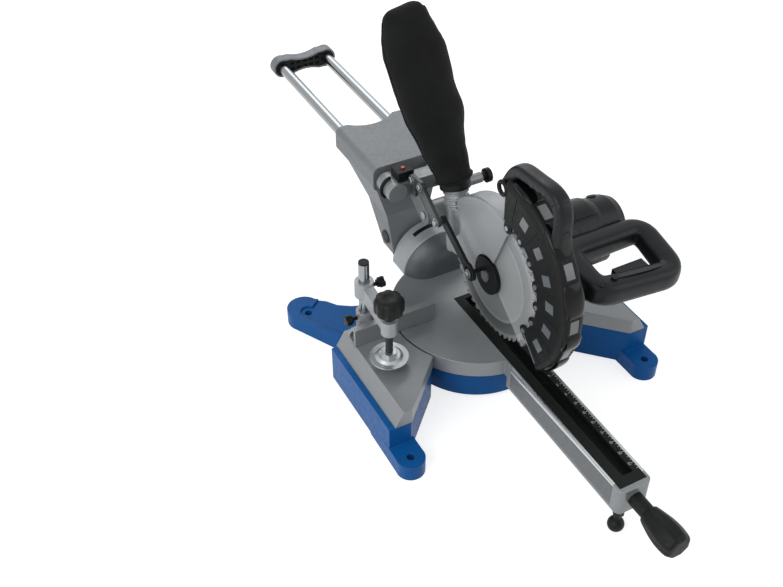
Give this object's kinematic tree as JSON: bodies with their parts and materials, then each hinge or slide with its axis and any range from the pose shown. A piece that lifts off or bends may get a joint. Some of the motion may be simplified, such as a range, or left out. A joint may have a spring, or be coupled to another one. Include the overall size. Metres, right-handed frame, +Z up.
{
  "type": "sliding compound mitre saw",
  "caption": "Bench mitre saw whose motor head slides on rails, tilts and turns with a slotted arm; fence, retracting clear guard, hold-down clamp and dust bag.",
  "frame": {"origin": "turntable axis on the bench, the middle of the four bench bolt holes", "axes": "+X to the right along the fence, +Y to the rear along the rails, +Z up"},
  "size_m": [0.468, 1.0503, 0.5483],
  "materials": {
    "blue_paint": "satin powder coat",
    "silver_cast": "machined and painted casting",
    "grey_cast": "painted casting",
    "dark_cast": "dark painted casting",
    "black_plastic": "fine moulded grain",
    "grip_plastic": "satin moulding",
    "chrome": "ground and plated",
    "steel": "turned",
    "blade_steel": "ground",
    "clear": "clear moulding",
    "smoke": "smoked moulding",
    "fabric": "woven bag cloth",
    "red_plastic": "gloss"
  },
  "bodies": {
    "base": {"base_frame": "blue_paint", "table_left": "silver_cast", "table_right": "silver_cast", "fence_left": "silver_cast", "fence_right": "silver_cast", "fence_screws": "steel", "turntable_bolt": "steel"},
    "clamp_post": {"clamp_post": "chrome", "post_cap": "black_plastic"},
    "post_screw": {"post_screw": "black_plastic"},
    "clamp_arm": {"clamp_arm": "grey_cast"},
    "arm_screw": {"arm_screw": "black_plastic"},
    "clamp_pad": {"clamp_pad": "chrome"},
    "clamp_screw": {"clamp_spindle": "steel", "clamp_knob": "black_plastic"},
    "turntable": {"turntable": "silver_cast", "arm_insert": "black_plastic", "bevel_trunnion": "dark_cast", "bevel_bolt": "steel"},
    "mitre_handle": {"mitre_handle": "grip_plastic"},
    "front_foot": {"front_foot": "black_plastic"},
    "bevel_lever": {"bevel_lever": "black_plastic"},
    "column": {"bevel_column": "grey_cast", "rail_bushes": "steel", "column_plug": "black_plastic"},
    "slide_knob": {"slide_knob": "black_plastic"},
    "slide": {"rails": "chrome", "rear_bracket": "silver_cast", "rear_plate": "black_plastic", "head_bracket": "silver_cast", "pivot_pin": "steel", "return_spring": "steel", "guard_strut": "dark_cast", "laser_box": "black_plastic", "laser_lead": "black_plastic"},
    "lock_pin": {"lock_pin": "black_plastic"},
    "laser_button": {"laser_button": "red_plastic"},
    "guard_rod": {"guard_rod": "black_plastic"},
    "head": {"upper_guard": "grey_cast", "front_hood": "black_plastic", "hood_windows": "smoke", "hood_screws": "chrome", "carry_handle": "grip_plastic", "motor_housing": "grip_plastic", "brush_caps": "black_plastic", "stator": "steel", "d_handle": "grip_plastic", "bag_collar": "black_plastic", "dust_bag": "fabric", "bearings": "steel"},
    "trigger": {"trigger": "grip_plastic"},
    "lock_button": {"lock_button": "grip_plastic"},
    "armature": {"armature": "steel"},
    "saw_spindle": {"spindle": "steel", "flanges": "steel", "blade": "blade_steel", "arbor_bolt": "steel"},
    "lower_guard": {"lower_guard": "clear", "guard_hub": "black_plastic"}
  },
  "joints": [
    {"name": "mitre_turn", "type": "hinge", "parent": "base", "child": "turntable", "pos_m": [0, 0, 0.09], "axis": [0, 0, -1], "range_deg": [-45, 45]},
    {"name": "bevel_tilt", "type": "hinge", "parent": "turntable", "child": "column", "pos_m": [0, 0.167, 0.09], "axis": [0, -1, 0], "range_deg": [0, 45]},
    {"name": "rail_slide", "type": "slide", "parent": "column", "child": "slide", "axis": [0, 1, 0], "range_m": [-0.2, 0]},
    {"name": "head_chop", "type": "hinge", "parent": "slide", "child": "head", "pos_m": [0, 0.086, 0.218], "axis": [-1, 0, 0], "range_deg": [0, 35]},
    {"name": "blade_spin", "type": "hinge", "parent": "head", "child": "saw_spindle", "pos_m": [0, -0.045, 0.186], "axis": [1, 0, 0], "continuous": true},
    {"name": "armature_spin", "type": "hinge", "parent": "head", "child": "armature", "pos_m": [0, -0.05978, 0.22659], "axis": [1, 0, 0], "continuous": true},
    {"name": "guard_swing", "type": "hinge", "parent": "head", "child": "lower_guard", "pos_m": [0, -0.045, 0.186], "axis": [1, 0, 0], "range_deg": [0, 70]},
    {"name": "rod_swing", "type": "hinge", "parent": "slide", "child": "guard_rod", "pos_m": [0, 0.043, 0.234], "axis": [-1, 0, 0], "range_deg": [0, 57.9]},
    {"name": "trigger_pull", "type": "slide", "parent": "head", "child": "trigger", "axis": [0, -1, 0], "range_m": [0, 0.005], "stiffness_N_per_m": 500},
    {"name": "lock_press", "type": "slide", "parent": "head", "child": "lock_button", "axis": [0, 0, -1], "range_m": [0, 0.004], "stiffness_N_per_m": 400},
    {"name": "lock_pull", "type": "slide", "parent": "slide", "child": "lock_pin", "axis": [1, 0, 0], "range_m": [0, 0.008], "stiffness_N_per_m": 600},
    {"name": "laser_press", "type": "slide", "parent": "slide", "child": "laser_button", "axis": [0, 0, -1], "range_m": [0, 0.0015], "stiffness_N_per_m": 300},
    {"name": "mitre_lock", "type": "hinge", "parent": "turntable", "child": "mitre_handle", "pos_m": [0, -0.4, 0.068], "axis": [0, -1, 0], "range_deg": [-90, 90]},
    {"name": "foot_turn", "type": "hinge", "parent": "turntable", "child": "front_foot", "pos_m": [-0.014, -0.387, 0.02], "axis": [0, 0, 1], "range_deg": [-180, 180]},
    {"name": "bevel_lock", "type": "hinge", "parent": "turntable", "child": "bevel_lever", "pos_m": [0, 0.194, 0.09], "axis": [0, 1, 0], "range_deg": [0, 50]},
    {"name": "slide_lock", "type": "hinge", "parent": "column", "child": "slide_knob", "pos_m": [0.04, 0.225, 0.242], "axis": [1, 0, 0], "range_deg": [-90, 90]},
    {"name": "post_drop", "type": "slide", "parent": "base", "child": "clamp_post", "axis": [0, 0, -1], "range_m": [0, 0.0145]},
    {"name": "post_lock", "type": "hinge", "parent": "base", "child": "post_screw", "pos_m": [-0.19, 0.024, 0.124], "axis": [1, 0, 0], "range_deg": [-90, 90]},
    {"name": "arm_swing", "type": "hinge", "parent": "clamp_post", "child": "clamp_arm", "pos_m": [-0.175, 0.024, 0.17], "axis": [0, 0, -1], "range_deg": [-40, 40]},
    {"name": "arm_lock", "type": "hinge", "parent": "clamp_arm", "child": "arm_screw", "pos_m": [-0.16, 0.024, 0.1765], "axis": [1, 0, 0], "range_deg": [-90, 90]},
    {"name": "clamp_feed", "type": "slide", "parent": "clamp_arm", "child": "clamp_pad", "axis": [0, 0, -1], "range_m": [-0.012, 0]},
    {"name": "clamp_turn", "type": "hinge", "parent": "clamp_pad", "child": "clamp_screw", "pos_m": [-0.175, -0.052, 0.16], "axis": [0, 0, 1], "range_deg": [-720, 720]}
  ],
  "couplings": [
    {"joint": "armature_spin", "follows": "blade_spin", "ratio": -4.4},
    {"joint": "guard_swing", "follows": "head_chop", "ratio": 2},
    {"joint": "rod_swing", "follows": "head_chop", "ratio": 1.651},
    {"joint": "clamp_turn", "follows": "clamp_feed", "rad_per_m": -1047.2}
  ]
}
